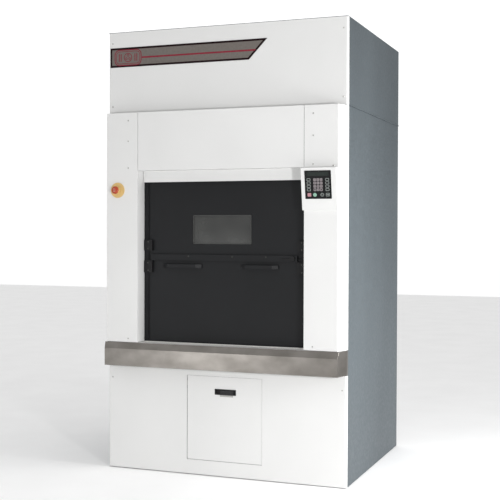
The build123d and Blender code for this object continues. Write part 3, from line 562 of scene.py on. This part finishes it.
def keypad():
    """Membrane keys: embossed domes with printed rims, a number block and a display window."""
    rims = bmesh.new()
    domes = bmesh.new()
    for x in (-SIDE_COLUMN, SIDE_COLUMN):
        for y in KEY_ROWS:
            band(rims, keypad_plane, rounded(20, 14.5, 4, x, y), 2.6, 0, 0.6, 0.2)
            plate(domes, keypad_plane, rounded(14, 8.5, 2.5, x, y), 0, 0.5, 0.3)
    band(rims, keypad_plane, ring(9.5, 21, START_ROW), 2.2, 0, 0.6, 0.2)
    for tick in range(8):
        turn = 2 * math.pi * tick / 8
        spoke = rounded(2, 2, 0.5, 21 + 4.6 * math.cos(turn), START_ROW + 4.6 * math.sin(turn))
        plate(rims, keypad_plane, spoke, 0, 0.55, 0.1)
    band(rims, keypad_plane, rounded(20, 18, 3, 51, START_ROW), 2.4, 0, 0.6, 0.2)
    for x in (47, 55):
        plate(rims, keypad_plane, rounded(3, 9, 1, x, START_ROW), 0, 0.55, 0.1)
    plate(rims, keypad_plane, rounded(7, 2.4, 1, 51, START_ROW), 0, 0.5, 0.1)
    rim_piece = piece("keypad_rims", rims, finish["key_print"], "cabinet")
    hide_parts("keypad_keys")
    piece("keypad_domes", domes, finish["keypad_film"], "cabinet")

    numbers = bmesh.new()
    digits = bmesh.new()
    labels = ("123", "456", "789", " 0 ")
    for row, line in zip(KEY_ROWS, labels):
        for x, text in zip((-KEY_PITCH, 0, KEY_PITCH), line):
            plate(numbers, keypad_plane, rounded(14.5, 14.5, 3, x, row), 0, 0.6, 0.3)
            if text.strip():
                key_digit(digits, text, x, row, 11)
    for x in (-KEY_PITCH, KEY_PITCH):
        plate(digits, keypad_plane, rounded(6, 6, 1, x, KEY_ROWS[3]), 0.5, 0.75, 0.05)
    piece("keypad_number_keys", numbers, pale_ink, "cabinet")
    piece("keypad_digits", digits, finish["keypad_film"], "cabinet")

    stop = bmesh.new()
    plate(stop, keypad_plane, rounded(20, 18, 3, -49, START_ROW), 0, 0.6, 0.3)
    piece("keypad_stop_key", stop, pink_ink, "cabinet")
    start = bmesh.new()
    plate(start, keypad_plane, ring(10, -19, START_ROW), 0, 0.6, 0.3)
    piece("keypad_start_key", start, mint_ink, "cabinet")
    screen = bmesh.new()
    plate(screen, keypad_plane, rounded(116, 22, 2, 0, 56), 0, 0.2, 0.1)
    piece("keypad_display", screen, screen_film, "cabinet")


keypad()


# ------------------------------------------------------------------ screws and glazing
def screws(name, points, radius, body, material):
    """Button-head screws given as (x, y of the plane, z)."""
    bm = bmesh.new()
    for x, y, z in points:
        screw_head(bm, front_plane(y, x, z), radius)
    return piece(name, bm, material, body)


cabinet_screws = [(x, FRONT, z) for z in (2437, 2076, 522) for x in (-686, 686)]
cabinet_screws += [(x, FACE, z) for z in (1985, 1869, 1718, 757) for x in (-545, 545)]
cabinet_screws.append((655, FACE, 1709))
panel_heads = screws("cabinet_screw_heads", cabinet_screws, 4.2, "cabinet", finish["zinc_steel"])
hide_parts("panel_screws")
shoe_front = FRONT - 4
upper_screws = [(x, shoe_front, z) for x in (-459, 459) for z in (1304, 1264)]
upper_screws += [(x, DOOR - 12, 1224) for x in (-210, 55, 253)]
screws("upper_door_screw_heads", upper_screws, 4.6, "upper_door", dark_screw)
lower_screws = [(x, shoe_front, z) for x in (-459, 459) for z in (1184, 1142)]
screws("lower_door_screw_heads", lower_screws, 4.6, "lower_door", dark_screw)


def glazing():
    """An aluminium bead that holds the glass from the front."""
    low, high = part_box("upper_door_window")
    width = (high.x - low.x) / MM - 26
    height = (high.z - low.z) / MM - 26
    middle = ((low.x + high.x) / 2 / MM, (low.z + high.z) / 2 / MM)
    bm = bmesh.new()
    band(bm, front_plane(DOOR + 4.1), rounded(width, height, 5, *middle), 3, 0, 5.2, 0.6)
    piece("window_bead", bm, bead_metal, "upper_door")


glazing()


def shelf_highlight_strip():
    """A raised strip along the back of the shelf, just in front of where the doors pass, coloured pale as a
    painted highlight for the bright line along the shelf's back edge.
    """
    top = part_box("loading_ledge")[1].z / MM
    steps = ((6, 0), (6, 3), (4.5, 4), (-3, 4), (-4.5, 3), (-4.5, 0))
    bm = bmesh.new()
    rings = [[Vector((x, FRONT - depth, top + up)) * MM for depth, up in steps] for x in (-484, 494)]
    loft(bm, rings, closed_start=True, closed_end=True)
    piece("shelf_strip_painted_highlight", bm, painted_highlight_steel, "cabinet")


shelf_highlight_strip()


# ------------------------------------------------------------------ emergency stop
def stop_arrows():
    """Two curved arrows printed on the mushroom head: the button is turned to let it out."""
    place = front_plane(FACE - 43, -611, 1594)
    bm = bmesh.new()
    for start in (20, 200):
        outer = [math.radians(start + 110 * i / 14) for i in range(15)]
        arc = [(7.6 * math.cos(t), 7.6 * math.sin(t)) for t in outer]
        arc += [(6.2 * math.cos(t), 6.2 * math.sin(t)) for t in reversed(outer)]
        plate(bm, place, arc, 0, 0.15, 0.03)
        tip = math.radians(start + 110)
        along = Vector((-math.sin(tip), math.cos(tip)))
        out = Vector((math.cos(tip), math.sin(tip)))
        base = out * 6.9
        head = [base - out * 2.0, base + out * 1.6, base + along * 3.2]
        plate(bm, place, [tuple(p) for p in head], 0, 0.15, 0.03)
    piece("stop_arrows", bm, white_ink, "stop_button")


stop_arrows()


# ------------------------------------------------------------------ perforated drum
def drum():
    """A rolled stainless drum shell with punched air holes and a rolled lip round its mouth."""
    low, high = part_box("drum_shell")
    centre_z = (low.z + high.z) / 2
    outer, inner = 0.620, 0.617
    y0, y1 = low.y, high.y
    around, along = 96, 21
    bm = bmesh.new()
    pitch_y = (y1 - y0 - 0.04) / along
    hole = 0.010

    def point(turn, y, radius):
        return Vector((radius * math.cos(turn), y, centre_z + radius * math.sin(turn)))

    step = 2 * math.pi / around
    corners = {}

    def corner(i, k, radius):
        key = (i % around, k, radius)
        if key not in corners:
            corners[key] = bm.verts.new(point(key[0] * step, y0 + 0.02 + k * pitch_y, radius))
        return corners[key]

    side = (1, 1), (0, 1), (-1, 1), (-1, 0), (-1, -1), (0, -1), (1, -1), (1, 0)
    for i in range(around):
        for k in range(along):
            middle_turn = (i + 0.5) * step
            middle_y = y0 + 0.02 + (k + 0.5) * pitch_y
            rims = []
            for radius in (outer, inner):
                rim = []
                for sx, sy in side:
                    length = math.hypot(sx, sy)
                    turn = middle_turn + sx / length * hole / outer
                    rim.append(bm.verts.new(point(turn, middle_y + sy / length * hole, radius)))
                rims.append(rim)
                c = {
                    (1, 1): corner(i + 1, k + 1, radius),
                    (-1, 1): corner(i, k + 1, radius),
                    (-1, -1): corner(i, k, radius),
                    (1, -1): corner(i + 1, k, radius),
                }
                for first in (0, 2, 4, 6):
                    a, b = side[first], side[(first + 2) % 8]
                    bm.faces.new((c[a], c[b], rim[(first + 2) % 8], rim[(first + 1) % 8], rim[first]))
            for j in range(8):
                n = (j + 1) % 8
                bm.faces.new((rims[0][j], rims[0][n], rims[1][n], rims[1][j]))
    profile = [
        (inner, y0 + 0.02), (inner, y0 + 0.004), (0.482, y0 + 0.004), (0.476, y0 + 0.006),
        (0.470, y0 + 0.004), (0.470, y0 + 0.001), (0.474, y0), (outer, y0), (outer, y0 + 0.02),
    ]
    turns = [i * step for i in range(around)]
    loft(bm, [[point(t, y, r) for t in turns] for r, y in profile])
    back = [(outer, y1 - 0.02), (outer, y1), (inner, y1), (inner, y1 - 0.02)]
    loft(bm, [[point(t, y, r) for t in turns] for r, y in back])
    bmesh.ops.remove_doubles(bm, verts=bm.verts, dist=1e-6)
    shell = piece("drum_perforated_shell", bm, finish["drum_steel"], "drum")
    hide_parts("drum_shell")


drum()


# ------------------------------------------------------------------ the room
def floor_stage():
    """A plain pale floor."""
    mesh = bpy.data.meshes.new("studio_floor")
    reach = 16
    outline = ((-1, -1), (1, -1), (1, 1), (-1, 1))
    corners = [(x * reach, y * reach, FLOOR_Z) for x, y in outline]
    mesh.from_pydata(corners, [], [(0, 1, 2, 3)])
    floor = link(bpy.data.objects.new("studio_floor", mesh))
    material, shader = start_material("pale_floor")
    connect(material, shader, {
        "Base Color": between(material, noise(material, 400), "#FBFBFB", "#FFFFFF"),
        "Roughness": 0.9,
    })
    mesh.materials.append(material)


floor_stage()
